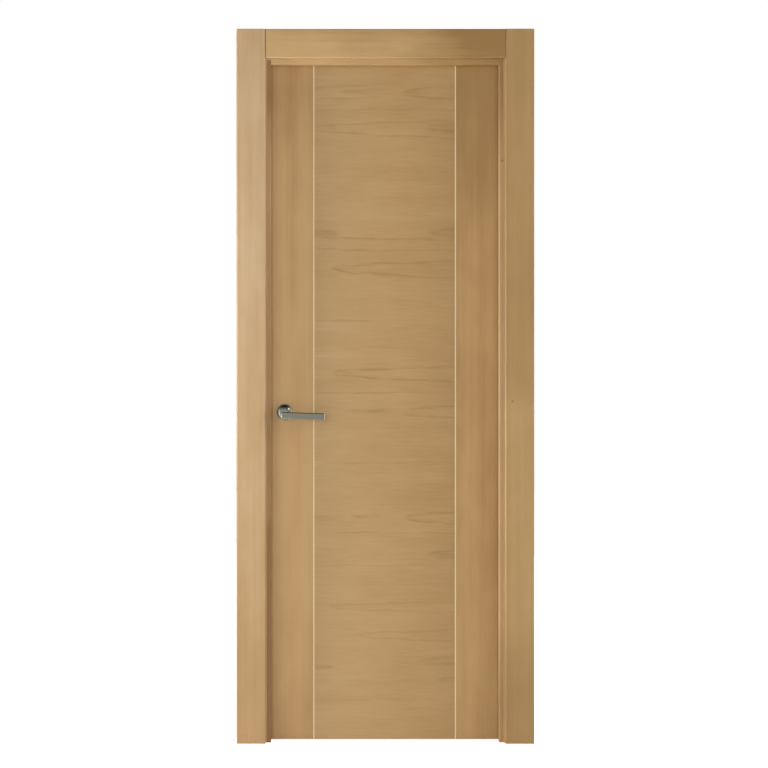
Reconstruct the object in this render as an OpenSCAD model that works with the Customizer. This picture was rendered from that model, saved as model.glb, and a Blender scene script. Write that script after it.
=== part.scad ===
// Veneered interior door in its frame, seen from the push side.
// +X runs to the hinge side, +Y away from the push side, +Z up.
// The origin lies on the wall face of the hinge jamb, at floor level, half way through the wall.

/* [Leaf] */
// Width of the leaf at its back face
leaf_w = 725; // [625:10:925]
// Height of the leaf
leaf_h = 2110; // [1910:10:2210]
// Thickness of the leaf over both veneered skins
leaf_t = 40; // [38:1:46]
// Thickness of each veneered skin
skin_t = 4; // [3:0.5:5]
// Width of the solid strip along each long edge
lipping_w = 10; // [8:1:16]
// Width of the upright veneer at each side
stile_w = 140; // [110:5:180]
// Width of the pale inlay between the upright and the cross veneer
inlay_w = 3; // [2:0.5:6]
// How much the latch edge slopes over the thickness, so that it clears the jamb as it swings
latch_bevel = 2; // [2:0.25:3]

/* [Frame] */
// Thickness of a jamb behind its rebate
jamb_t = 17; // [17:1:30]
// How far the stop stands out from the rebate
stop_w = 13; // [13:1:18]
// Depth of the stop through the wall
stop_depth = 15; // [12:1:30]
// Radius of the arris on the stop
stop_arris_r = 2; // [1:0.5:3]
// Gap between the leaf and each jamb
side_gap = 5; // [5:0.5:6]
// Gap over the leaf
head_gap = 5; // [5:0.5:8]
// Gap between the leaf and the floor
floor_gap = 5; // [5:1:15]
// Gap between the stop and the leaf, filled by the seal
seal_gap = 5; // [5:0.5:7]

/* [Seals] */
// Width of the seal's foot
seal_w = 6; // [4:0.5:6]
// Clearance between the seal and the shut leaf
seal_clear = 0.5; // [0.3:0.1:0.9]

/* [Architraves] */
// Width of an architrave
architrave_w = 90; // [60:5:120]
// Thickness of an architrave
architrave_t = 15; // [12:1:16]
// Radius of its two front arrises
arris_r = 3.5; // [1:0.5:5]
// Jamb face left to show on the push side, from the stop to the architrave
front_reveal = 17; // [8:1:22]
// Jamb edge left to show on the hinge side, from the rebate to the architrave
back_reveal = 7.5; // [7:0.5:9]

/* [Hinges] */
// Height of a hinge
hinge_h = 100; // [76:1:120]
// Width of the plate that is let into the edge
plate_w = 28; // [22:1:30]
// Thickness of a hinge plate
plate_t = 2.5; // [2:0.5:2.5]
// Radius of the knuckles
knuckle_r = 6; // [6:0.25:7]
// Gap between two knuckles on the pin
knuckle_gap = 0.5; // [0.3:0.1:1]
// Gap between a plate and the other plate's knuckles
notch_gap = 0.8; // [0.5:0.1:1.5]
// Distance of the pin from the back face of the leaf
pin_out = 9.5; // [9.5:0.25:11]
// Radius of the pin
pin_r = 3; // [2.5:0.25:3]
// Clearance round the pin
pin_clear = 0.05; // [0.02:0.01:0.09]
// Height of the pin's caps
pin_cap_h = 4; // [3:0.5:6]
// Distance of the outer hinges' middles from the ends of the leaf
hinge_inset = 215; // [150:5:300]
// Clearance round a plate in its mortise
mortise_clear = 0.2; // [0.1:0.1:0.5]

/* [Handle] */
// Height of the spindle above the floor
handle_z = 1026; // [950:1:1100]
// Distance of the spindle from the latch edge
backset = 50; // [45:1:70]
// Radius of a rose
rose_r = 26; // [24:0.5:30]
// Thickness of a rose at its neck
rose_t = 9; // [7:0.5:12]
// Thickness of a rose at its rim
rose_rim_t = 3; // [2:0.5:5]
// Radius of the rim's arris
rose_arris_r = 1; // [0.5:0.25:1.5]
// Width of the flat rim round the rose's dome
rose_rim_w = 2.5; // [2:0.5:4]
// Radius of the lever's neck
neck_r = 10; // [9:0.5:11]
// Running clearance between the neck and its rose
neck_clear = 0.05; // [0.02:0.01:0.09]
// Distance of the lever's outer face from the leaf
lever_out = 52; // [46:1:65]
// Length of the lever from the spindle to its end
lever_l = 125; // [100:5:145]
// Height of the flat lever bar
lever_h = 22; // [18:1:24]
// Thickness of the flat lever bar
lever_t = 10; // [6:1:12]
// How far the bar's middle lies below the spindle
lever_drop = 9.5; // [0:0.5:10]
// Slope of the bar down to its end, in degrees
lever_slope = 2; // [0:0.5:4]
// Width of the bevel on the lever's end
lever_bevel = 3; // [1:0.5:5]
// Radius of the bar's outer arrises
lever_arris_r = 3; // [1:0.25:4]
// Width across the flats of the square spindle
spindle_w = 8; // [7:0.5:9]
// Clearance round the spindle in the lever's socket
spindle_clear = 0.1; // [0.05:0.05:0.2]
// Depth of the spindle's seat in each neck
spindle_seat = 28; // [20:1:32]
// Radius of the hole through the leaf for the spindle
spindle_hole_r = 8; // [7.5:0.25:9]

/* [Latch] */
// Width of the faceplate on the leaf's edge
faceplate_w = 20; // [18:1:22]
// Height of the faceplate
faceplate_h = 165; // [140:5:235]
// Thickness of the faceplate
faceplate_t = 3; // [2:0.5:4]
// Thickness of the latch bolt
bolt_t = 12; // [10:0.5:13]
// Height of the latch bolt
bolt_h = 22; // [18:1:26]
// Length of the latch bolt inside the leaf
bolt_l = 30; // [24:1:34]
// Clearance round the bolt
bolt_clear = 0.4; // [0.3:0.1:0.6]
// Width of the strike plate
strike_w = 26; // [24:1:30]
// Height of the strike plate
strike_h = 170; // [120:5:200]
// Thickness of the strike plate
strike_t = 2; // [1.5:0.5:3]
// Extra room for the bolt in the strike's opening, on each side
keep_clear = 1.5; // [1:0.5:3]
// Depth of the bolt's pocket in the jamb
keep_depth = 12; // [8:1:13]
// Corner radius of the faceplate and the strike plate
lock_plate_r = 4; // [1:1:8]

/* [Hidden] */
$fn = 64;
// Overrun of a cutter past the face that it opens
cut = 1;

// Places across the opening, from the hinge side to the latch side
hinge_rebate_x = -jamb_t;
hinge_stop_x = hinge_rebate_x - stop_w;
leaf_right = hinge_rebate_x - side_gap;
leaf_left = leaf_right - leaf_w;
latch_rebate_x = leaf_left - side_gap;
latch_stop_x = latch_rebate_x + stop_w;
latch_wall_x = latch_rebate_x - jamb_t;

// Places through the wall, from the push side to the hinge side
frame_depth = stop_depth + seal_gap + leaf_t;
frame_front = -frame_depth / 2;
frame_back = frame_depth / 2;
stop_back = frame_front + stop_depth;
leaf_front = stop_back + seal_gap;
leaf_back = leaf_front + leaf_t;

// Heights
leaf_top = floor_gap + leaf_h;
head_rebate_z = leaf_top + head_gap;
head_stop_z = head_rebate_z - stop_w;
head_top = head_rebate_z + jamb_t;

// Inner edges of the architraves on both sides of the wall
front_edge_right = hinge_stop_x + front_reveal;
front_edge_left = latch_stop_x - front_reveal;
front_edge_top = head_stop_z + front_reveal;
back_edge_right = hinge_rebate_x + back_reveal;
back_edge_left = latch_rebate_x - back_reveal;
back_edge_top = head_rebate_z + back_reveal;

// Hinges
pin_x = (hinge_rebate_x + leaf_right) / 2;
pin_y = leaf_back + pin_out;
plate_in = side_gap / 2;
knuckle_count = 5;
knuckle_h = (hinge_h - (knuckle_count - 1) * knuckle_gap) / knuckle_count;
pin_cap_r = knuckle_r - 0.5;
pin_cap_arris_r = 2;
hinge_bottom_z = floor_gap + hinge_inset;
hinge_top_z = leaf_top - hinge_inset;
hinge_middle_z = (hinge_bottom_z + hinge_top_z) / 2;
hinge_heights = [hinge_bottom_z, hinge_middle_z, hinge_top_z];

// Handle and latch
handle_x = leaf_left + backset;
lever_back = lever_out - lever_t;
neck_start = 0.5;
rose_dome_r = rose_r - rose_rim_w;
rose_top_r = neck_r + 2;
bevel_deg = atan(latch_bevel / leaf_t);
latch_line = -leaf_t / 2;
bolt_nose = bolt_t - 3;
leaf_mid_y = (leaf_front + leaf_back) / 2;

// Colours
veneer = "#b08e60";
cross_veneer = "#ad8b5c";
frame_wood = "#bb976a";
maple = "#d8bd98";
board = "#a5875f";
steel = "#8d8f8c";
seal_rubber = "#6b4b30";

// Frame

// Section of a jamb, with its wall face on x = 0 and its rebate face towards -x
module jamb_section() {
    translate([-jamb_t, frame_front])
        square([jamb_t, frame_depth]);
}

// Section of a stop planted on that rebate face, flush with the jamb's front edge
module stop_section() {
    stop_edge = -jamb_t - stop_w;
    union() {
        translate([stop_edge + stop_arris_r, frame_front])
            square([stop_w - stop_arris_r, stop_depth]);
        translate([stop_edge, frame_front + stop_arris_r])
            square([stop_w, stop_depth - stop_arris_r]);
        translate([stop_edge + stop_arris_r, frame_front + stop_arris_r])
            circle(stop_arris_r);
    }
}

// Places an upright of the hinge side on the latch side, mirrored
module on_latch_side() {
    translate([latch_wall_x, 0, 0])
        mirror([1, 0, 0])
            children();
}

// Lays an upright's section across the head, ending at the given place on the hinge side
module on_head(x_end) {
    translate([x_end, 0, head_top])
        rotate([0, -90, 0])
            children();
}

module latch_jamb() {
    color(frame_wood) difference() {
        on_latch_side()
            linear_extrude(head_top)
                jamb_section();
        strike_mortise();
        keep_pocket();
    }
}

module hinge_jamb() {
    color(frame_wood) difference() {
        linear_extrude(head_top)
            jamb_section();
        for (z = hinge_heights) {
            frame_mortise(z);
        }
    }
}

// The head lies between the jambs
module head_jamb() {
    color(frame_wood) on_head(hinge_rebate_x)
        linear_extrude(hinge_rebate_x - latch_rebate_x)
            jamb_section();
}

module latch_stop() {
    color(frame_wood) on_latch_side()
        linear_extrude(head_rebate_z)
            stop_section();
}

module hinge_stop() {
    color(frame_wood) linear_extrude(head_rebate_z)
        stop_section();
}

// The head's stop lies between the other two
module head_stop() {
    color(frame_wood) on_head(hinge_stop_x)
        linear_extrude(hinge_stop_x - latch_stop_x)
            stop_section();
}

// Architraves

// Section of an architrave: its back on y = 0
module architrave_section() {
    union() {
        square([architrave_w, architrave_t - arris_r]);
        translate([arris_r, 0])
            square([architrave_w - 2 * arris_r, architrave_t]);
        for (x = [arris_r, architrave_w - arris_r]) {
            translate([x, architrave_t - arris_r])
                circle(arris_r);
        }
    }
}

// Length of architrave up from the floor, on the back of the wall
module upright_architrave(inner_top) {
    color(frame_wood) linear_extrude(inner_top + architrave_w)
        architrave_section();
}

// Length of architrave across the head, with its lower edge at z = 0
module cross_architrave(length) {
    color(frame_wood) translate([0, 0, architrave_w])
        rotate([0, 90, 0])
            linear_extrude(length)
                architrave_section();
}

module front_architrave_left() {
    translate([front_edge_left - architrave_w, frame_front, 0])
        mirror([0, 1, 0])
            upright_architrave(front_edge_top);
}

module front_architrave_right() {
    translate([front_edge_right, frame_front, 0])
        mirror([0, 1, 0])
            upright_architrave(front_edge_top);
}

module front_architrave_head() {
    translate([front_edge_left, frame_front, front_edge_top])
        mirror([0, 1, 0])
            cross_architrave(front_edge_right - front_edge_left);
}

module back_architrave_left() {
    translate([back_edge_left - architrave_w, frame_back, 0])
        upright_architrave(back_edge_top);
}

module back_architrave_right() {
    translate([back_edge_right, frame_back, 0])
        upright_architrave(back_edge_top);
}

module back_architrave_head() {
    translate([back_edge_left, frame_back, back_edge_top])
        cross_architrave(back_edge_right - back_edge_left);
}

// Seals, stuck to the back of the stops

// Section of a seal: a flat foot on y = 0 and a round bulb
module seal_section() {
    bulb_r = seal_w / 2;
    seal_h = seal_gap - seal_clear;
    union() {
        translate([-bulb_r, 0])
            square([seal_w, seal_h - bulb_r]);
        intersection() {
            translate([0, seal_h - bulb_r])
                circle(bulb_r);
            translate([-bulb_r, 0])
                square([seal_w, seal_h]);
        }
    }
}

seal_hinge_x = (hinge_stop_x + leaf_right) / 2;
seal_latch_x = (latch_stop_x + leaf_left + latch_bevel) / 2;
seal_head_z = (head_stop_z + leaf_top) / 2;

module upright_seal(x) {
    color(seal_rubber) translate([x, stop_back, 0])
        linear_extrude(seal_head_z - seal_w / 2)
            seal_section();
}

module seal_latch_side() {
    upright_seal(seal_latch_x);
}

module seal_hinge_side() {
    upright_seal(seal_hinge_x);
}

module seal_head() {
    color(seal_rubber) translate([seal_latch_x - seal_w / 2, stop_back, seal_head_z])
        rotate([0, 90, 0])
            linear_extrude(seal_hinge_x - seal_latch_x + seal_w)
                seal_section();
}

// Hinges

// Mortise in the jamb for a hinge plate whose middle is at height z
module frame_mortise(z) {
    translate([hinge_rebate_x - cut, leaf_back - plate_w - mortise_clear, z - hinge_h / 2 - mortise_clear])
        cube([plate_t + cut, plate_w + mortise_clear + cut, hinge_h + 2 * mortise_clear]);
}

// Mortise in the edge of the leaf for a hinge plate whose middle is at height z
module leaf_mortise(z) {
    translate([leaf_right - plate_t, leaf_back - plate_w - mortise_clear, z - hinge_h / 2 - mortise_clear])
        cube([plate_t + cut, plate_w + mortise_clear + cut, hinge_h + 2 * mortise_clear]);
}

// Hinge plate with every second knuckle, from knuckle number first, round the pin at the origin.
// The plate lies on the +x side of the pin.
module hinge_plate(first) {
    notch = knuckle_r + notch_gap;
    difference() {
        union() {
            translate([plate_in, -pin_out - plate_w, -hinge_h / 2])
                cube([plate_t, pin_out + plate_w - notch, hinge_h]);
            for (i = [first:2:knuckle_count - 1]) {
                translate([0, 0, i * (knuckle_h + knuckle_gap) - hinge_h / 2]) {
                    cylinder(h = knuckle_h, r = knuckle_r);
                    translate([plate_in, -notch - cut, 0])
                        cube([plate_t, notch + cut, knuckle_h]);
                }
            }
        }
        translate([0, 0, -hinge_h / 2 - cut])
            cylinder(h = hinge_h + 2 * cut, r = pin_r + pin_clear);
    }
}

module hinge_frame_plate(z) {
    color(steel) translate([pin_x, pin_y, z])
        hinge_plate(0);
}

module hinge_leaf_plate(z) {
    color(steel) translate([pin_x, pin_y, z])
        mirror([1, 0, 0])
            hinge_plate(1);
}

// Section of the cap on the end of a pin
module pin_cap_section() {
    union() {
        square([pin_cap_r, pin_cap_h - pin_cap_arris_r]);
        square([pin_cap_r - pin_cap_arris_r, pin_cap_h]);
        translate([pin_cap_r - pin_cap_arris_r, pin_cap_h - pin_cap_arris_r])
            intersection() {
                circle(pin_cap_arris_r);
                square(pin_cap_arris_r);
            }
    }
}

module hinge_pin(z) {
    color(steel) translate([pin_x, pin_y, z]) union() {
        translate([0, 0, -hinge_h / 2])
            cylinder(h = hinge_h, r = pin_r);
        for (turn = [0, 180]) {
            rotate([turn, 0, 0])
                translate([0, 0, hinge_h / 2])
                    rotate_extrude()
                        pin_cap_section();
        }
    }
}

module hinge_frame_plate_bottom() {
    hinge_frame_plate(hinge_bottom_z);
}

module hinge_frame_plate_middle() {
    hinge_frame_plate(hinge_middle_z);
}

module hinge_frame_plate_top() {
    hinge_frame_plate(hinge_top_z);
}

module hinge_pin_bottom() {
    hinge_pin(hinge_bottom_z);
}

module hinge_pin_middle() {
    hinge_pin(hinge_middle_z);
}

module hinge_pin_top() {
    hinge_pin(hinge_top_z);
}

module hinge_leaf_plate_bottom() {
    hinge_leaf_plate(hinge_bottom_z);
}

module hinge_leaf_plate_middle() {
    hinge_leaf_plate(hinge_middle_z);
}

module hinge_leaf_plate_top() {
    hinge_leaf_plate(hinge_top_z);
}

// Leaf

// Full-height part of the leaf between two widths and two depths, with the sloping latch edge
module leaf_part(x_from, x_to, y_from, y_to) {
    translate([0, 0, floor_gap]) linear_extrude(leaf_h) intersection() {
        polygon([[leaf_left, leaf_back], [leaf_right, leaf_back],
            [leaf_right, leaf_front], [leaf_left + latch_bevel, leaf_front]]);
        translate([x_from, y_from])
            square([x_to - x_from, y_to - y_from]);
    }
}

module spindle_hole() {
    translate([handle_x, leaf_front - cut, handle_z])
        rotate([-90, 0, 0])
            cylinder(h = leaf_t + 2 * cut, r = spindle_hole_r);
}

module leaf_core() {
    color(board) difference() {
        leaf_part(leaf_left + lipping_w, leaf_right - lipping_w, leaf_front + skin_t, leaf_back - skin_t);
        spindle_hole();
        bolt_mortise();
    }
}

module latch_lipping() {
    color(veneer) difference() {
        leaf_part(leaf_left, leaf_left + lipping_w, leaf_front + skin_t, leaf_back - skin_t);
        faceplate_mortise();
        bolt_mortise();
    }
}

module hinge_lipping() {
    color(veneer) difference() {
        leaf_part(leaf_right - lipping_w, leaf_right, leaf_front + skin_t, leaf_back - skin_t);
        for (z = hinge_heights) {
            leaf_mortise(z);
        }
    }
}

// Skins: upright veneer, inlay, cross veneer, inlay and upright veneer

panel_left = leaf_left + stile_w + inlay_w;
panel_right = leaf_right - stile_w - inlay_w;

module front_skin(x_from, x_to) {
    leaf_part(x_from, x_to, leaf_front, leaf_front + skin_t);
}

module back_skin(x_from, x_to) {
    leaf_part(x_from, x_to, leaf_back - skin_t, leaf_back);
}

module front_stile_left() {
    color(veneer) difference() {
        front_skin(leaf_left, leaf_left + stile_w);
        spindle_hole();
    }
}

module front_inlay_left() {
    color(maple) front_skin(leaf_left + stile_w, panel_left);
}

module front_panel() {
    color(cross_veneer) front_skin(panel_left, panel_right);
}

module front_inlay_right() {
    color(maple) front_skin(panel_right, leaf_right - stile_w);
}

module front_stile_right() {
    color(veneer) front_skin(leaf_right - stile_w, leaf_right);
}

module back_stile_left() {
    color(veneer) difference() {
        back_skin(leaf_left, leaf_left + stile_w);
        spindle_hole();
    }
}

module back_inlay_left() {
    color(maple) back_skin(leaf_left + stile_w, panel_left);
}

module back_panel() {
    color(cross_veneer) back_skin(panel_left, panel_right);
}

module back_inlay_right() {
    color(maple) back_skin(panel_right, leaf_right - stile_w);
}

module back_stile_right() {
    color(veneer) difference() {
        back_skin(leaf_right - stile_w, leaf_right);
        for (z = hinge_heights) {
            leaf_mortise(z);
        }
    }
}

// Latch

// Plate standing on x = 0 with its thickness towards +x, rounded at its corners
module lock_plate(w, h, t, r) {
    rotate([90, 0, 90]) linear_extrude(t) union() {
        square([w - 2 * r, h], center = true);
        square([w, h - 2 * r], center = true);
        for (x = [r - w / 2, w / 2 - r]) {
            for (y = [r - h / 2, h / 2 - r]) {
                translate([x, y])
                    circle(r);
            }
        }
    }
}

// Places its children on the middle line of the sloping latch edge, at the height of the spindle
module on_latch_edge() {
    translate([leaf_left, leaf_back, handle_z])
        rotate([0, 0, bevel_deg])
            translate([0, latch_line, 0])
                children();
}

module faceplate_mortise() {
    on_latch_edge() translate([-cut, 0, 0])
        lock_plate(faceplate_w + 2 * mortise_clear, faceplate_h + 2 * mortise_clear,
            faceplate_t + cut, lock_plate_r + mortise_clear);
}

module bolt_mortise() {
    on_latch_edge() translate([0, -bolt_t / 2 - bolt_clear, -bolt_h / 2 - bolt_clear])
        cube([bolt_l, bolt_t + 2 * bolt_clear, bolt_h + 2 * bolt_clear]);
}

module latch_faceplate() {
    color(steel) difference() {
        on_latch_edge() lock_plate(faceplate_w, faceplate_h, faceplate_t, lock_plate_r);
        on_latch_edge() translate([-cut, -bolt_t / 2 - bolt_clear, -bolt_h / 2 - bolt_clear])
            cube([faceplate_t + 2 * cut, bolt_t + 2 * bolt_clear, bolt_h + 2 * bolt_clear]);
    }
}

// Drawn back, so that only its sloped nose stands in the faceplate
module latch_bolt() {
    color(steel) on_latch_edge() translate([0, 0, -bolt_h / 2])
        linear_extrude(bolt_h)
            polygon([[0, -bolt_t / 2], [0, 1 - bolt_t / 2], [bolt_nose, bolt_t / 2],
                [bolt_l, bolt_t / 2], [bolt_l, -bolt_t / 2]]);
}

// Places its children on the latch jamb's rebate, opposite the middle of the leaf's edge
module on_strike() {
    translate([latch_rebate_x, leaf_mid_y, handle_z])
        mirror([1, 0, 0])
            children();
}

module strike_mortise() {
    on_strike() translate([-cut, 0, 0])
        lock_plate(strike_w + 2 * mortise_clear, strike_h + 2 * mortise_clear,
            strike_t + cut, lock_plate_r + mortise_clear);
}

module keep_pocket() {
    on_strike() translate([-cut, -bolt_t / 2 - keep_clear, -bolt_h / 2 - keep_clear])
        cube([keep_depth + cut, bolt_t + 2 * keep_clear, bolt_h + 2 * keep_clear]);
}

module strike_plate() {
    color(steel) difference() {
        on_strike() lock_plate(strike_w, strike_h, strike_t, lock_plate_r);
        keep_pocket();
    }
}

// Handle

// Places its children on the push side of the leaf at the spindle, with +z out of the leaf
module on_front_face() {
    translate([handle_x, leaf_front, handle_z])
        rotate([90, 0, 0])
            children();
}

// The same on the hinge side of the leaf, mirrored
module on_back_face() {
    translate([handle_x, leaf_back, handle_z])
        mirror([0, 1, 0])
            rotate([90, 0, 0])
                children();
}

// Turned rose: a dome on a flat rim, with the neck's bore
module rose() {
    bore_r = neck_r + neck_clear;
    dome_h = rose_t - rose_rim_t;
    // Radius and middle height of the circle through the dome's top and foot
    middle_z = (rose_t + rose_rim_t) / 2 - (pow(rose_dome_r, 2) - pow(rose_top_r, 2)) / (2 * dome_h);
    arc_r = sqrt(pow(rose_top_r, 2) + pow(rose_t - middle_z, 2));
    color(steel) rotate_extrude() union() {
        translate([bore_r, 0])
            square([rose_r - rose_arris_r - bore_r, rose_rim_t]);
        translate([bore_r, 0])
            square([rose_r - bore_r, rose_rim_t - rose_arris_r]);
        translate([rose_r - rose_arris_r, rose_rim_t - rose_arris_r])
            circle(rose_arris_r);
        intersection() {
            translate([0, middle_z])
                circle(arc_r);
            translate([bore_r, 0])
                square([rose_r - bore_r, rose_t]);
        }
    }
}

// Half of the bar's section, its back on y = 0 and its outer arris rounded
module half_bar_section() {
    union() {
        square([lever_h / 2, lever_t - lever_arris_r]);
        square([lever_h / 2 - lever_arris_r, lever_t]);
        translate([lever_h / 2 - lever_arris_r, lever_t - lever_arris_r])
            circle(lever_arris_r);
    }
}

// Bar along +x with a round root, its back on z = 0 and its end bevelled
module lever_bar() {
    difference() {
        union() {
            rotate([0, 0, 90])
                rotate_extrude(angle = 180)
                    half_bar_section();
            rotate([90, 0, 90]) linear_extrude(lever_l) union() {
                half_bar_section();
                mirror([1, 0, 0])
                    half_bar_section();
            }
        }
        translate([lever_l, 0, lever_t - lever_bevel])
            rotate([0, -45, 0])
                translate([0, -lever_h, 0])
                    cube([2 * lever_bevel, 2 * lever_h, 3 * lever_bevel]);
    }
}

// Bar across the front of a round neck, with the square seat of the spindle
module lever() {
    seat_w = spindle_w + 2 * spindle_clear;
    neck_end = lever_back + lever_t / 2;
    color(steel) difference() {
        union() {
            translate([0, 0, neck_start])
                cylinder(h = neck_end - neck_start, r = neck_r);
            rotate([0, 0, -lever_slope])
                translate([0, -lever_drop, lever_back])
                    lever_bar();
        }
        translate([-seat_w / 2, -seat_w / 2, neck_start - cut])
            cube([seat_w, seat_w, spindle_seat + cut - neck_start]);
    }
}

module front_rose() {
    on_front_face() rose();
}

module back_rose() {
    on_back_face() rose();
}

module front_lever() {
    on_front_face() lever();
}

module back_lever() {
    on_back_face() lever();
}

module spindle() {
    spindle_l = leaf_t + 2 * spindle_seat - 1;
    color(steel) translate([handle_x, leaf_mid_y, handle_z])
        cube([spindle_w, spindle_l, spindle_w], center = true);
}

latch_jamb();
hinge_jamb();
head_jamb();
latch_stop();
hinge_stop();
head_stop();
front_architrave_left();
front_architrave_right();
front_architrave_head();
back_architrave_left();
back_architrave_right();
back_architrave_head();
seal_latch_side();
seal_hinge_side();
seal_head();
strike_plate();
hinge_frame_plate_bottom();
hinge_frame_plate_middle();
hinge_frame_plate_top();
hinge_pin_bottom();
hinge_pin_middle();
hinge_pin_top();
hinge_leaf_plate_bottom();
hinge_leaf_plate_middle();
hinge_leaf_plate_top();
leaf_core();
latch_lipping();
hinge_lipping();
front_stile_left();
front_inlay_left();
front_panel();
front_inlay_right();
front_stile_right();
back_stile_left();
back_inlay_left();
back_panel();
back_inlay_right();
back_stile_right();
latch_faceplate();
latch_bolt();
front_rose();
back_rose();
front_lever();
back_lever();
spindle();
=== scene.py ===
import math

import bpy
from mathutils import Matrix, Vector


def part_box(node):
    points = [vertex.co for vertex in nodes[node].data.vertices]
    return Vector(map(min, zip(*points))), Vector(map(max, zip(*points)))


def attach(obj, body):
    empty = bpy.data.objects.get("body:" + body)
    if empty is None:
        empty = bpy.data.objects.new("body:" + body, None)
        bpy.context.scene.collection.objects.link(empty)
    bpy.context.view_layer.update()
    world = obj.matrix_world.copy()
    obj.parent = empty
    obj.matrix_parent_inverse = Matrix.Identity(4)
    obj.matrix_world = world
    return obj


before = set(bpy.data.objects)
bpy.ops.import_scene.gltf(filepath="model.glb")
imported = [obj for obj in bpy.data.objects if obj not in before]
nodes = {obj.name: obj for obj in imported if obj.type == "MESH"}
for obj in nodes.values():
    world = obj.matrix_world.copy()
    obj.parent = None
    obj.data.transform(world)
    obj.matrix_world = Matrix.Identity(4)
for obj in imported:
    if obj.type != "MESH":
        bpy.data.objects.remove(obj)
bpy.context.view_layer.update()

# The frame: two jambs and a head, with a planted stop on each that the leaf shuts against.
# Board wrapped in a straight-grained pale brown veneer and lacquered satin, so it has long soft
# streaks and no strong figure. The grain follows each board. The head darkens to the right and the
# stops towards their ends as painted shade, and the latch stop is darker as painted shadow.

MM = 0.001


def linear(hexadecimal):
    """An sRGB colour, written as six hex digits, as linear red, green, blue and alpha."""
    parts = [int(hexadecimal[i:i + 2], 16) / 255 for i in (0, 2, 4)]
    return [p / 12.92 if p <= 0.04045 else ((p + 0.055) / 1.055) ** 2.4 for p in parts] + [1.0]


def add(tree, kind, settings=(), links=()):
    """Adds a node. Settings are its properties or its sockets' values, and links are sockets' sources."""
    node = tree.nodes.new(kind)
    for key, value in dict(settings).items():
        if isinstance(key, int) or key in node.inputs:
            node.inputs[key].default_value = value
        else:
            setattr(node, key, value)
    for key, source in dict(links).items():
        tree.links.new(source, node.inputs[key])
    return node


def new_material(name, roughness, **sockets):
    """An empty material with one Principled shader."""
    material = bpy.data.materials.new(name)
    material.use_nodes = True
    tree = material.node_tree
    shader = tree.nodes["Principled BSDF"]
    shader.inputs["Roughness"].default_value = roughness
    for socket, value in sockets.items():
        shader.inputs[socket.replace("_", " ")].default_value = value
    return material, tree, shader


def streaks(tree, grain, layers):
    """Wood's tone from 0 to 1: stretched noise, each layer with its width, length and weight."""
    place = add(tree, "ShaderNodeTexCoord").outputs["Object"]
    tone = None
    for width, length, weight in layers:
        size = [width, width, width]
        size["XYZ".index(grain)] = length
        scaled = add(tree, "ShaderNodeMapping", {"Scale": [1 / (s * MM) for s in size]}, {"Vector": place})
        noise = add(tree, "ShaderNodeTexNoise", {"Scale": 1.0, "Detail": 2.0, "Roughness": 0.55},
                    {"Vector": scaled.outputs[0]})
        part = add(tree, "ShaderNodeMath", {"operation": "MULTIPLY_ADD", 1: weight, 2: -weight / 2},
                   {0: noise.outputs["Fac"]})
        if tone is None:
            tone = add(tree, "ShaderNodeMath", {"operation": "ADD", 1: 0.5}, {0: part.outputs[0]})
        else:
            tone = add(tree, "ShaderNodeMath", {"operation": "ADD"}, {0: tone.outputs[0], 1: part.outputs[0]})
    return tone.outputs[0]


def tint(tree, tone, dark, middle, pale):
    """The wood's colour from its tone."""
    ramp = add(tree, "ShaderNodeValToRGB", {}, {"Fac": tone})
    stops = ramp.color_ramp.elements
    stops[0].color = linear(dark)
    stops[1].color = linear(pale)
    stops.new(0.5).color = linear(middle)
    return ramp.outputs["Color"]


def relief(tree, shader, height, depth_mm):
    """Fine relief under the lacquer, that deep."""
    bump = add(tree, "ShaderNodeBump", {"Strength": 1.0, "Distance": depth_mm * MM}, {"Height": height})
    tree.links.new(bump.outputs[0], shader.inputs["Normal"])


def tone_and_painted_shade(tree, tone, shade_and_tone_drifts):
    """The tone with slow changes along an axis: where each starts and ends, and what it adds by its end. Most are
    painted shade, where the light falls off or gathers in a joint; a few are bands of the veneer's own.
    """
    place = add(tree, "ShaderNodeSeparateXYZ", {}, {0: add(tree, "ShaderNodeTexCoord").outputs["Object"]})
    for axis, start, end, change in shade_and_tone_drifts:
        drift = add(tree, "ShaderNodeMapRange",
                    {"interpolation_type": "SMOOTHSTEP", 1: start, 2: end, 3: 0.0, 4: change},
                    {0: place.outputs[axis]})
        tone = add(tree, "ShaderNodeMath", {"operation": "ADD"}, {0: tone, 1: drift.outputs[0]}).outputs[0]
    return tone


def straight_veneer(name, grain, dark, middle, pale, shade_and_tone_drifts=(), knots=()):
    """Straight-grained veneer: soft patches, bands 34 mm wide, streaks 8 mm wide, and pores drawn 1.5 mm wide."""
    material, tree, shader = new_material(name, 0.5, Specular_IOR_Level=0.25, Coat_Weight=0.3, Coat_Roughness=0.25)
    tone = streaks(tree, grain, [(90, 210, 0.5), (34, 1500, 0.5), (8, 500, 0.16), (1.5, 60, 0.26)])
    tone = tone_and_painted_shade(tree, tone, shade_and_tone_drifts)
    colour = tint(tree, tone, dark, middle, pale)
    for knot in knots:
        apart = add(tree, "ShaderNodeVectorMath", {"operation": "DISTANCE", 1: knot},
                    {0: add(tree, "ShaderNodeTexCoord").outputs["Object"]})
        spot = add(tree, "ShaderNodeMapRange", {1: 0.002, 2: 0.006, 3: 0.6, 4: 0.0}, {0: apart.outputs["Value"]})
        colour = add(tree, "ShaderNodeMix", {"data_type": "RGBA", 7: linear("6B4E2A")},
                     {0: spot.outputs[0], 6: colour}).outputs[2]
    tree.links.new(colour, shader.inputs["Base Color"])
    relief(tree, shader, tone, 0.15)
    return material


def finish_node(name, material):
    """Gives a CAD node its material."""
    nodes[name].data.materials.clear()
    nodes[name].data.materials.append(material)


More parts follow.
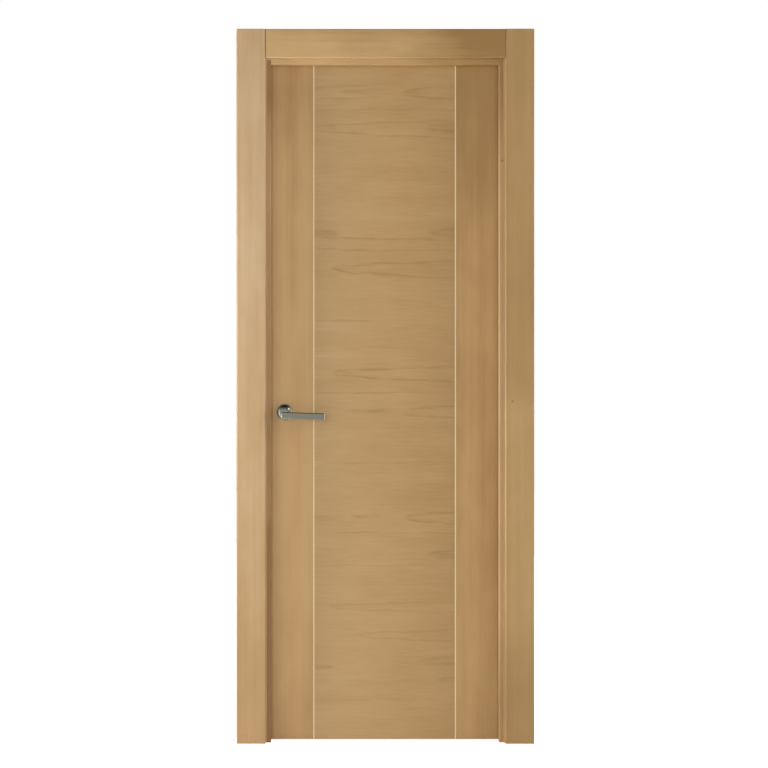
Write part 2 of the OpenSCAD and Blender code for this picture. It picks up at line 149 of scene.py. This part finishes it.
jamb_veneer = straight_veneer("jamb_veneer", "Z", "A78760", "B6956C", "C3A47B")
# Painted shadow: the latch stop is darker and browner than the jamb, standing in for the left architrave's shadow.
# Painted shade as well: it lightens upwards and darkens near the head, where the light falls off.
stop_veneer_left_painted_shadow = straight_veneer("stop_veneer_left_painted_shadow", "Z", "694719", "856030", "B28D64",
                                   shade_and_tone_drifts=[("Z", 0.2, 1.7, 0.32), ("Z", 1.8, 2.1, -0.25)])
# Painted shade: the hinge stop darkens near the head and near the floor, where the light falls off. The dark spot is a
# knot.
stop_veneer = straight_veneer("stop_veneer", "Z", "8E6C42", "AA885F", "B8986F",
                              shade_and_tone_drifts=[("Z", 1.75, 2.1, -0.5), ("Z", 0.4, 0.1, -0.3)],
                              knots=[(-0.021, -0.03, 1.808)])
# Painted shade: the head and its stop darken to the right, where the light falls off across the door.
head_frame_veneer = straight_veneer("head_frame_veneer", "X", "957344", "BC9B6D", "D0B38A",
                                    shade_and_tone_drifts=[("X", -0.75, -0.45, -0.2), ("X", -0.4, -0.02, -0.45)])
finish_node("latch_stop", stop_veneer_left_painted_shadow)
finish_node("hinge_stop", stop_veneer)
for name in ("latch_jamb", "hinge_jamb"):
    finish_node(name, jamb_veneer)
for name in ("head_jamb", "head_stop"):
    finish_node(name, head_frame_veneer)

# The seals: soft brown foam strips stuck to the backs of the stops, against which the leaf shuts.
# Matt and slightly grainy, with no gloss.

seal_foam, tree, shader = new_material("seal_foam_brown", 0.85)
grit = streaks(tree, "Z", [(0.8, 0.8, 0.8)])
tree.links.new(tint(tree, grit, "7B6040", "8C7050", "9A7E5E"), shader.inputs["Base Color"])
relief(tree, shader, grit, 0.2)
for name in ("seal_latch_side", "seal_hinge_side", "seal_head"):
    finish_node(name, seal_foam)

# The architraves: flat boards with two rounded front arrises, pinned over the joint between the
# frame and the wall on both sides. The uprights run to the top and the head piece butts between them.

# Painted shade: the left architrave lightens upwards and darkens near the floor, where the light falls off.
architrave_veneer_left = straight_veneer("architrave_veneer_left", "Z", "8E6E40", "A8875B", "C0A480",
                                         shade_and_tone_drifts=[("Z", 0.1, 1.9, 0.32), ("Z", 0.5, 0.1, -0.12)])
# Painted shade: the right architrave's colours are darker than the left's, where the light falls off to the right, and
# it darkens above the middle and near the floor. The dark spot is a knot.
architrave_veneer_right_painted_shade = straight_veneer("architrave_veneer_right_painted_shade", "Z", "906F41", "A18150", "AF9166",
                                          shade_and_tone_drifts=[("Z", 1.0, 1.15, -0.35), ("Z", 1.4, 1.6, 0.12),
                                                  ("Z", 0.45, 0.1, -0.45)],
                                          knots=[(0.009, -0.045, 1.06)])
# Painted shade: a dark line at the head's left end stands in for shade in its joint with the upright, and the head
# darkens to the right, where the light falls off.
architrave_veneer_head = straight_veneer("architrave_veneer_head", "X", "8A6737", "B69463", "C9AA7E",
                                         shade_and_tone_drifts=[("X", -0.7525, -0.757, -0.7), ("X", -0.75, -0.45, -0.12),
                                                 ("X", -0.4, 0.03, -0.52)])
for side in ("front", "back"):
    finish_node(side + "_architrave_left", architrave_veneer_left)
    finish_node(side + "_architrave_right", architrave_veneer_right_painted_shade)
    finish_node(side + "_architrave_head", architrave_veneer_head)

# The leaf's core and edges: pressed board between two strips of solid wood along the long edges.
# The core shows only at the top and bottom edges, as coarse pale chips.

core_board, tree, shader = new_material("core_chipboard", 0.8)
chips = streaks(tree, "X", [(1.5, 6, 1.1), (4, 9, 0.5)])
tree.links.new(tint(tree, chips, "7F6443", "A5875F", "C4A983"), shader.inputs["Base Color"])
relief(tree, shader, chips, 0.4)
finish_node("leaf_core", core_board)

lipping_wood = straight_veneer("lipping_wood", "Z", "9C7B50", "B29064", "C0A075")
finish_node("latch_lipping", lipping_wood)
finish_node("hinge_lipping", lipping_wood)

# The stiles: the leaf's skin at each side, veneered upright. The grain is quiet and a little
# darker and warmer than the frame's.

# Painted shade: the left stile darkens near the head and near the floor, where the light falls off.
stile_veneer_left = straight_veneer("stile_veneer_left", "Z", "997243", "B28E5D", "BE9D70",
                                    shade_and_tone_drifts=[("Z", 1.7, 2.1, -0.22), ("Z", 0.5, 0.1, -0.2)])
# Painted shade: the right stile darkens towards the head, in its lower part and towards its right edge, where the light
# falls off. The narrow dark band is the veneer's own.
stile_veneer_right = straight_veneer("stile_veneer_right", "Z", "94703F", "B08B59", "BE9D70",
                                     shade_and_tone_drifts=[("Z", 1.1, 2.1, -0.42), ("Z", 1.5, 1.1, -0.15), ("X", -0.12, -0.04, -0.16),
                                             ("X", -0.105, -0.085, -0.12), ("X", -0.08, -0.06, 0.12)])
for side in ("front", "back"):
    finish_node(side + "_stile_left", stile_veneer_left)
    finish_node(side + "_stile_right", stile_veneer_right)

# The middle of the leaf: the same veneer laid across, in sheets whose figure comes back every
# 440 mm or so. Each flame is a dark tip with two arms that open towards one edge, and between the
# flames run single dark lines that fade in and out.

panel_low, panel_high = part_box("front_panel")
panel_w = panel_high.x - panel_low.x

# Height in mm, tip across the panel from 0 to 1, way it opens, rise and fall of its arms in mm,
# reach as a share of the panel, half width in mm and darkness
FIGURE = [
    (2037, 0.00, 1, 16, -16, 0.75, 2.2, 0.5), (2028, 0.19, 1, 10, 9, 0.42, 2.2, 0.6),
    (2027, 0.63, 1, 30, 40, 0.6, 2.6, 0.8), (2003, 0.00, 1, 8, -8, 0.6, 2.2, 0.6),
    (1969, 0.00, 1, 3, -3, 1.3, 2.2, 0.4), (1915, 0.00, 1, 20, 34, 1.6, 2.2, 0.75),
    (1914, 0.81, 1, 22, 24, 0.4, 6.5, 0.9), (1749, 0.50, 1, 2, -2, 0.9, 3.0, 0.3),
    (1612, 0.76, 1, 2, -2, 0.14, 2.0, 0.6), (1585, 0.18, -1, 18, 18, 0.4, 6.0, 0.8),
    (1588, 0.82, 1, 22, 20, 0.4, 6.5, 0.9), (1571, 0.05, 1, -6, 6, 1.5, 2.4, 0.9),
    (1538, 0.00, 1, -9, 9, 1.5, 2.2, 0.7), (1476, 0.12, 1, 23, 33, 1.4, 2.6, 0.9),
    (1311, 0.00, 1, 1, -1, 0.75, 2.4, 0.7), (1148, 0.13, 1, 21, 30, 1.4, 2.6, 0.9),
    (1087, 0.00, 1, 1, -1, 1.5, 2.2, 0.7), (1030, 0.25, 1, 3, 3, 0.42, 3.6, 0.9),
    (1029, 0.62, 1, 25, 32, 0.8, 3.2, 0.9), (868, 0.08, 1, 1, -1, 1.4, 2.2, 0.5),
    (700, 0.28, 1, 3, 3, 0.24, 4.0, 0.9), (700, 0.64, 1, 22, 37, 0.8, 2.8, 0.9),
    (696, 0.20, -1, 4, 4, 0.3, 4.0, 0.5), (648, 0.16, 1, 1, -3, 1.4, 1.9, 0.8),
    (593, 0.08, 1, 14, 14, 0.4, 2.0, 0.3), (582, 0.82, 1, 16, 18, 0.4, 6.5, 0.9),
    (546, 0.05, 1, 2, -2, 1.2, 2.2, 0.4), (420, 0.10, 1, 14, 22, 1.3, 2.4, 0.5),
    (330, 0.30, 1, 18, 24, 1.0, 2.4, 0.6), (252, 0.76, 1, 18, 24, 0.5, 3.2, 0.7),
    (230, 0.14, -1, 8, 10, 0.4, 3.4, 0.7), (190, 0.88, 1, 14, 14, 0.3, 4.5, 0.7),
    (128, 0.20, 1, 2, -2, 0.9, 2.2, 0.5), (98, 0.60, 1, 2, -2, 0.7, 2.2, 0.4),
]


def flames(tree, figure):
    """How dark the figure is at a point, from 0 to 1."""
    place = add(tree, "ShaderNodeTexCoord").outputs["Object"]
    split = add(tree, "ShaderNodeSeparateXYZ", {}, {0: place})
    across = add(tree, "ShaderNodeMath",
                 {"operation": "MULTIPLY_ADD", 1: 1 / panel_w, 2: -panel_low.x / panel_w},
                 {0: split.outputs["X"]}).outputs[0]
    wave_place = add(tree, "ShaderNodeMapping", {"Scale": (9.0, 9.0, 28.0)}, {"Vector": place})
    wave = add(tree, "ShaderNodeTexNoise", {"Scale": 1.0, "Detail": 2.0}, {"Vector": wave_place.outputs[0]})
    sway = add(tree, "ShaderNodeMath", {"operation": "MULTIPLY_ADD", 1: 16.0, 2: -8.0}, {0: wave.outputs["Fac"]})
    ripple_place = add(tree, "ShaderNodeMapping", {"Scale": (34.0, 34.0, 90.0)}, {"Vector": place})
    ripple = add(tree, "ShaderNodeTexNoise", {"Scale": 1.0, "Detail": 1.0}, {"Vector": ripple_place.outputs[0]})
    jog = add(tree, "ShaderNodeMath", {"operation": "MULTIPLY_ADD", 1: 7.0},
              {0: ripple.outputs["Fac"], 2: sway.outputs[0]})
    height = add(tree, "ShaderNodeMath", {"operation": "MULTIPLY_ADD", 1: 1 / MM, 2: -3.5},
                 {0: split.outputs["Z"]}).outputs[0]
    height = add(tree, "ShaderNodeMath", {"operation": "ADD"}, {0: height, 1: jog.outputs[0]}).outputs[0]
    fade_place = add(tree, "ShaderNodeMapping", {"Scale": (16.0, 16.0, 90.0)}, {"Vector": place})
    fade = add(tree, "ShaderNodeTexNoise", {"Scale": 1.0, "Detail": 1.0}, {"Vector": fade_place.outputs[0]})
    total = None
    for z, tip, way, rise, fall, reach, half, dark in figure:
        along = add(tree, "ShaderNodeMath", {"operation": "MULTIPLY_ADD", 1: way, 2: -way * tip}, {0: across})
        ahead = add(tree, "ShaderNodeMath", {"operation": "MAXIMUM", 1: 0.0}, {0: along.outputs[0]})
        spread = add(tree, "ShaderNodeMath", {"operation": "POWER", 1: 0.5}, {0: ahead.outputs[0]})
        upper = add(tree, "ShaderNodeMath", {"operation": "MULTIPLY_ADD", 1: rise, 2: z}, {0: spread.outputs[0]})
        lower = add(tree, "ShaderNodeMath", {"operation": "MULTIPLY_ADD", 1: -fall, 2: z}, {0: spread.outputs[0]})
        below = add(tree, "ShaderNodeMath", {"operation": "SUBTRACT"}, {0: upper.outputs[0], 1: height})
        above = add(tree, "ShaderNodeMath", {"operation": "SUBTRACT"}, {0: height, 1: lower.outputs[0]})
        inside = add(tree, "ShaderNodeMath", {"operation": "MINIMUM"}, {0: below.outputs[0], 1: above.outputs[0]})
        near = add(tree, "ShaderNodeMath", {"operation": "ABSOLUTE"}, {0: inside.outputs[0]})
        line = add(tree, "ShaderNodeMapRange",
                   {"interpolation_type": "SMOOTHSTEP", 1: 0.0, 2: half * 2.4, 3: dark, 4: 0.0},
                   {0: near.outputs[0]})
        filled = add(tree, "ShaderNodeMapRange", {"interpolation_type": "SMOOTHSTEP", 1: 0.0, 2: 5.0, 3: 0.0, 4: 1.0},
                     {0: inside.outputs[0]})
        heart = add(tree, "ShaderNodeMapRange", {1: 0.0, 2: 0.22, 3: dark * 0.8, 4: 0.0}, {0: along.outputs[0]})
        core = add(tree, "ShaderNodeMath", {"operation": "MULTIPLY"}, {0: filled.outputs[0], 1: heart.outputs[0]})
        drawn = add(tree, "ShaderNodeMath", {"operation": "MAXIMUM"}, {0: line.outputs[0], 1: core.outputs[0]})
        start = add(tree, "ShaderNodeMapRange", {1: -0.03, 2: 0.03, 3: 0.0, 4: 1.0}, {0: along.outputs[0]})
        end = add(tree, "ShaderNodeMapRange", {1: reach * 0.45, 2: reach, 3: 1.0, 4: 0.0}, {0: along.outputs[0]})
        shown = add(tree, "ShaderNodeMath", {"operation": "MULTIPLY"}, {0: start.outputs[0], 1: end.outputs[0]})
        part = add(tree, "ShaderNodeMath", {"operation": "MULTIPLY"}, {0: drawn.outputs[0], 1: shown.outputs[0]})
        if total is None:
            total = part
        else:
            total = add(tree, "ShaderNodeMath", {"operation": "MAXIMUM"}, {0: total.outputs[0], 1: part.outputs[0]})
    weight = add(tree, "ShaderNodeMapRange", {1: 0.32, 2: 0.6, 3: 0.3, 4: 1.0}, {0: fade.outputs["Fac"]})
    return add(tree, "ShaderNodeMath", {"operation": "MULTIPLY"},
               {0: total.outputs[0], 1: weight.outputs[0]}).outputs[0]


cross_veneer, tree, shader = new_material("cross_veneer", 0.5, Specular_IOR_Level=0.25, Coat_Weight=0.3,
                                         Coat_Roughness=0.25)
tone = streaks(tree, "X", [(90, 260, 0.5), (26, 420, 0.2), (5, 90, 0.3), (1.5, 40, 0.32)])
# Painted shade: the middle darkens from left to right, where the light falls off across the door.
tone = tone_and_painted_shade(tree, tone, [("X", panel_low.x, panel_high.x, -0.3)])
ground = tint(tree, tone, "977445", "A9895B", "BC9D77")
figure_tone = flames(tree, FIGURE)
figure_share = add(tree, "ShaderNodeMath", {"operation": "MULTIPLY", 1: 0.44}, {0: figure_tone})
figured = add(tree, "ShaderNodeMix", {"data_type": "RGBA", 7: linear("7E5D2F")},
              {0: figure_share.outputs[0], 6: ground})
tree.links.new(figured.outputs[2], shader.inputs["Base Color"])
relief(tree, shader, tone, 0.15)
for side in ("front", "back"):
    finish_node(side + "_panel", cross_veneer)

# The inlays: strips of pale maple, 3 mm wide, let in between the stiles and the middle.
# Close-grained and almost white against the brown.

maple = straight_veneer("maple_inlay", "Z", "CDB88E", "D8C39A", "E1CFA9")
for side in ("front", "back"):
    finish_node(side + "_inlay_left", maple)
    finish_node(side + "_inlay_right", maple)

# The hinges: stainless butt hinges, a plate let into the jamb and one into the leaf, and a pin.
# Brushed satin, so the plates have a fine upright brushing and soft broad reflections.


def brushed_steel(name, grain, roughness):
    """Satin stainless steel with brushing drawn 0.8 mm apart along one axis."""
    material, tree, shader = new_material(name, roughness, Metallic=1.0)
    tone = streaks(tree, grain, [(0.8, 40, 0.7), (12, 60, 0.3)])
    tree.links.new(tint(tree, tone, "6E6D63", "78776C", "848378"), shader.inputs["Base Color"])
    relief(tree, shader, tone, 0.01)
    return material


hinge_steel = brushed_steel("hinge_steel_satin", "Z", 0.36)
for place in ("bottom", "middle", "top"):
    finish_node("hinge_frame_plate_" + place, hinge_steel)
    finish_node("hinge_leaf_plate_" + place, hinge_steel)
    finish_node("hinge_pin_" + place, hinge_steel)

# The latch: a faceplate with rounded corners in the leaf's edge, the bolt behind it, drawn back,
# and the strike plate opposite in the jamb. The same satin stainless.

for name in ("strike_plate", "latch_faceplate", "latch_bolt"):
    finish_node(name, hinge_steel)

# The screws: countersunk, four in each hinge plate and two in each latch plate, a hair proud.
# The same stainless, each with a cross recess that stopped at its own angle.

screw_tree = bpy.data.node_groups.new("countersunk_screws", "GeometryNodeTree")
sizes = {"Head Radius": 4.2, "Head Height": 0.4, "Recess Length": 4.6, "Recess Width": 1.1}
screw_tree.interface.new_socket("Geometry", in_out="INPUT", socket_type="NodeSocketGeometry")
for label in sizes:
    screw_tree.interface.new_socket(label, in_out="INPUT", socket_type="NodeSocketFloat")
screw_tree.interface.new_socket("Steel", in_out="INPUT", socket_type="NodeSocketMaterial")
screw_tree.interface.new_socket("Geometry", in_out="OUTPUT", socket_type="NodeSocketGeometry")
given = add(screw_tree, "NodeGroupInput").outputs
flat_r = add(screw_tree, "ShaderNodeMath", {"operation": "SUBTRACT"},
             {0: given["Head Radius"], 1: given["Head Height"]})
head = add(screw_tree, "GeometryNodeMeshCone", {"Vertices": 40},
           {"Radius Top": flat_r.outputs[0], "Radius Bottom": given["Head Radius"], "Depth": given["Head Height"]})
bar_size = add(screw_tree, "ShaderNodeCombineXYZ", {},
               {"X": given["Recess Length"], "Y": given["Recess Width"], "Z": given["Head Height"]})
bar = add(screw_tree, "GeometryNodeMeshCube", {}, {"Size": bar_size.outputs[0]})
bar_lift = add(screw_tree, "ShaderNodeMath", {"operation": "MULTIPLY", 1: 0.65}, {0: given["Head Height"]})
bar_place = add(screw_tree, "ShaderNodeCombineXYZ", {}, {"Z": bar_lift.outputs[0]})
recess = add(screw_tree, "GeometryNodeMeshBoolean", {"operation": "DIFFERENCE"}, {"Mesh 1": head.outputs["Mesh"]})
for turn in (0.0, math.pi / 2):
    arm = add(screw_tree, "GeometryNodeTransform", {"Rotation": (0.0, 0.0, turn)},
              {"Geometry": bar.outputs["Mesh"], "Translation": bar_place.outputs[0]})
    screw_tree.links.new(arm.outputs[0], recess.inputs["Mesh 2"])
facing = add(screw_tree, "GeometryNodeInputNamedAttribute", {"data_type": "FLOAT_VECTOR", "Name": "facing"})
upright = add(screw_tree, "FunctionNodeAlignRotationToVector", {"axis": "Z"}, {"Vector": facing.outputs["Attribute"]})
any_turn = add(screw_tree, "FunctionNodeRandomValue", {"data_type": "FLOAT", 2: 0.0, 3: math.tau, "Seed": 7})
spin = add(screw_tree, "FunctionNodeAxisAngleToRotation", {"Axis": (0.0, 0.0, 1.0)}, {"Angle": any_turn.outputs[1]})
turned = add(screw_tree, "FunctionNodeRotateRotation", {"rotation_space": "LOCAL"},
             {"Rotation": upright.outputs[0], "Rotate By": spin.outputs[0]})
driven = add(screw_tree, "GeometryNodeInstanceOnPoints", {},
             {"Points": given["Geometry"], "Instance": recess.outputs["Mesh"], "Rotation": turned.outputs[0]})
solid = add(screw_tree, "GeometryNodeRealizeInstances", {}, {"Geometry": driven.outputs[0]})
finished = add(screw_tree, "GeometryNodeSetMaterial", {}, {"Geometry": solid.outputs[0], "Material": given["Steel"]})
add(screw_tree, "NodeGroupOutput", {}, {"Geometry": finished.outputs[0]})


def drive_screws(name, body, places):
    """One mesh of all the screws on a body. Each place is a point on a plate and the way it faces."""
    points = bpy.data.meshes.new(name + "_places")
    points.from_pydata([p for p, way in places], [], [])
    ways = points.attributes.new("facing", "FLOAT_VECTOR", "POINT")
    for item, (p, way) in zip(ways.data, places):
        item.vector = way
    holder = bpy.data.objects.new(name + "_places", points)
    bpy.context.collection.objects.link(holder)
    modifier = holder.modifiers.new("screws", "NODES")
    modifier.node_group = screw_tree
    for item in screw_tree.interface.items_tree:
        if item.in_out == "INPUT" and item.name in sizes:
            modifier[item.identifier] = sizes[item.name] * MM
        if item.in_out == "INPUT" and item.name == "Steel":
            modifier[item.identifier] = hinge_steel
    mesh = bpy.data.meshes.new_from_object(holder.evaluated_get(bpy.context.evaluated_depsgraph_get()))
    bpy.data.objects.remove(holder)
    screws = bpy.data.objects.new(name, mesh)
    bpy.context.collection.objects.link(screws)
    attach(screws, body)


frame_places = []
leaf_places = []
half_gap = 2.5 * MM
for place in ("bottom", "middle", "top"):
    low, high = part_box("hinge_frame_plate_" + place)
    pin_x = (low.x + high.x) / 2
    for z, y in ((-38, 7), (-13, 19), (13, 19), (38, 7)):
        screw_y = low.y + y * MM
        screw_z = (low.z + high.z) / 2 + z * MM
        frame_places.append(((pin_x + half_gap, screw_y, screw_z), (-1, 0, 0)))
        leaf_places.append(((pin_x - half_gap, screw_y, screw_z), (1, 0, 0)))
low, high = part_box("strike_plate")
for z in (low.z + 9 * MM, high.z - 9 * MM):
    frame_places.append(((high.x, (low.y + high.y) / 2, z), (1, 0, 0)))
low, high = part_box("latch_faceplate")
edge_slope = 1 / 20
edge_x = low.x + edge_slope * (high.y - low.y) / 2 - 0.2 * MM
for z in (low.z + 9 * MM, high.z - 9 * MM):
    leaf_places.append(((edge_x, (low.y + high.y) / 2, z), (-1, -edge_slope, 0)))
drive_screws("frame_screws", "frame", frame_places)
drive_screws("leaf_screws", "leaf", leaf_places)

# The handle: on each side a turned rose and a straight flat lever on a round neck, with the
# square spindle between them. Satin stainless, brushed along the lever.

lever_steel = brushed_steel("lever_steel_satin", "X", 0.2)
for name in ("front_rose", "back_rose", "front_lever", "back_lever", "spindle"):
    finish_node(name, lever_steel)

# The stage: a pale floor, soft light from the left that falls off to the right, and a pale room
# all round. The camera stands square before the door at the middle of its height.

front_low, front_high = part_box("front_architrave_left")
door_left = front_low.x
door_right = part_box("front_architrave_right")[1].x
door_front = front_low.y
door_top = front_high.z
door_middle = (door_left + door_right) / 2


def background_share(tree):
    """1 for the rays that show the background: those of the camera, and those that metal reflects."""
    path = add(tree, "ShaderNodeLightPath")
    shown = add(tree, "ShaderNodeMath", {"operation": "MAXIMUM"},
                {0: path.outputs["Is Camera Ray"], 1: path.outputs["Is Glossy Ray"]})
    return add(tree, "ShaderNodeMath", {"operation": "MAXIMUM"},
               {0: shown.outputs[0], 1: path.outputs["Is Transmission Ray"]}).outputs[0]


floor_mesh = bpy.data.meshes.new("floor")
half = 9.0
floor_mesh.from_pydata([(-half, -half, 0), (half, -half, 0), (half, half, 0), (-half, half, 0)], [], [(0, 1, 2, 3)])
floor = bpy.data.objects.new("floor", floor_mesh)
bpy.context.collection.objects.link(floor)
floor_paint, tree, shader = new_material("floor_paint", 0.9)
shader.inputs["Base Color"].default_value = linear("F4F3F0")
shader.inputs["Emission Color"].default_value = linear("FFFFFF")
glow = add(tree, "ShaderNodeMath", {"operation": "MULTIPLY", 1: 0.82}, {0: background_share(tree)})
tree.links.new(glow.outputs[0], shader.inputs["Emission Strength"])
floor_mesh.materials.append(floor_paint)

world = bpy.data.worlds.new("room")
bpy.context.scene.world = world
world.use_nodes = True
tree = world.node_tree
tree.nodes.clear()
toward = add(tree, "ShaderNodeTexCoord").outputs["Generated"]
split = add(tree, "ShaderNodeSeparateXYZ", {}, {0: toward})
ceiling = add(tree, "ShaderNodeMapRange", {1: 0.05, 2: 0.7, 3: 0.62, 4: 0.2}, {0: split.outputs["Z"]})
aside = add(tree, "ShaderNodeMapRange", {1: -1.0, 2: 1.0, 3: 1.15, 4: 0.85}, {0: split.outputs["X"]})
level = add(tree, "ShaderNodeMath", {"operation": "MULTIPLY"}, {0: ceiling.outputs[0], 1: aside.outputs[0]})
backdrop = add(tree, "ShaderNodeMapRange", {1: 0.4, 2: 0.75, 3: 1.0, 4: 0.05}, {0: split.outputs["Z"]})
strength = add(tree, "ShaderNodeMix", {"data_type": "FLOAT"},
               {0: background_share(tree), 2: level.outputs[0], 3: backdrop.outputs[0]})
room = add(tree, "ShaderNodeBackground", {"Color": linear("FFFFFF")}, {"Strength": strength.outputs[0]})
add(tree, "ShaderNodeOutputWorld", {}, {"Surface": room.outputs[0]})


def soft_lamp(name, place, target, width, height, watts):
    """A square lamp that looks at a point."""
    lamp = bpy.data.lights.new(name, "AREA")
    lamp.shape = "RECTANGLE"
    lamp.size = width
    lamp.size_y = height
    lamp.energy = watts
    lamp_object = bpy.data.objects.new(name, lamp)
    lamp_object.location = place
    lamp_object.rotation_euler = (Vector(target) - Vector(place)).to_track_quat("-Z", "Y").to_euler()
    bpy.context.collection.objects.link(lamp_object)


soft_lamp("window_left", (door_middle - 1.9, -1.15, 0.9), (door_middle, 0, 1.0), 0.5, 1.6, 7)
soft_lamp("panel_front", (door_middle - 1.6, -4.2, 1.3), (door_middle, 0, 1.2), 0.9, 1.4, 36)
soft_lamp("strip_left", (door_middle - 3.0, -0.42, 1.1), (door_middle, -0.03, 1.1), 0.3, 1.8, 110)
soft_lamp("strip_right", (door_middle + 3.0, -0.5, 1.6), (door_middle, -0.03, 1.3), 0.3, 1.6, 70)
soft_lamp("window_right", (door_middle + 1.3, -1.6, 2.2), (door_middle, 0, 1.1), 0.4, 0.5, 5)
soft_lamp("panel_right", (door_middle + 1.9, -4.4, 1.0), (door_middle, 0, 1.0), 0.9, 1.4, 6)
soft_lamp("window_behind", (door_middle + 1.2, 4.0, 1.6), (door_middle, 0, 1.1), 1.2, 1.8, 60)

PHOTO_PX = 768
door_px = 298.2
centre_px = (385.5, 386.3)
camera_distance = 3.8
camera_aside = 0.3
mm_per_px = (door_right - door_left) / door_px
camera = bpy.data.cameras.new("camera")
camera.sensor_width = 36
camera.lens = camera.sensor_width * camera_distance / (mm_per_px * PHOTO_PX)
camera_x = door_middle - (centre_px[0] - PHOTO_PX / 2) * mm_per_px
camera.shift_x = camera_aside / (mm_per_px * PHOTO_PX)
camera_object = bpy.data.objects.new("camera", camera)
camera_object.location = (camera_x - camera_aside, door_front - camera_distance,
                          door_top / 2 + (centre_px[1] - PHOTO_PX / 2) * mm_per_px)
camera_object.rotation_euler = (math.radians(90), 0, 0)
bpy.context.collection.objects.link(camera_object)
bpy.context.scene.camera = camera_object
bpy.context.scene.view_settings.view_transform = "Standard"
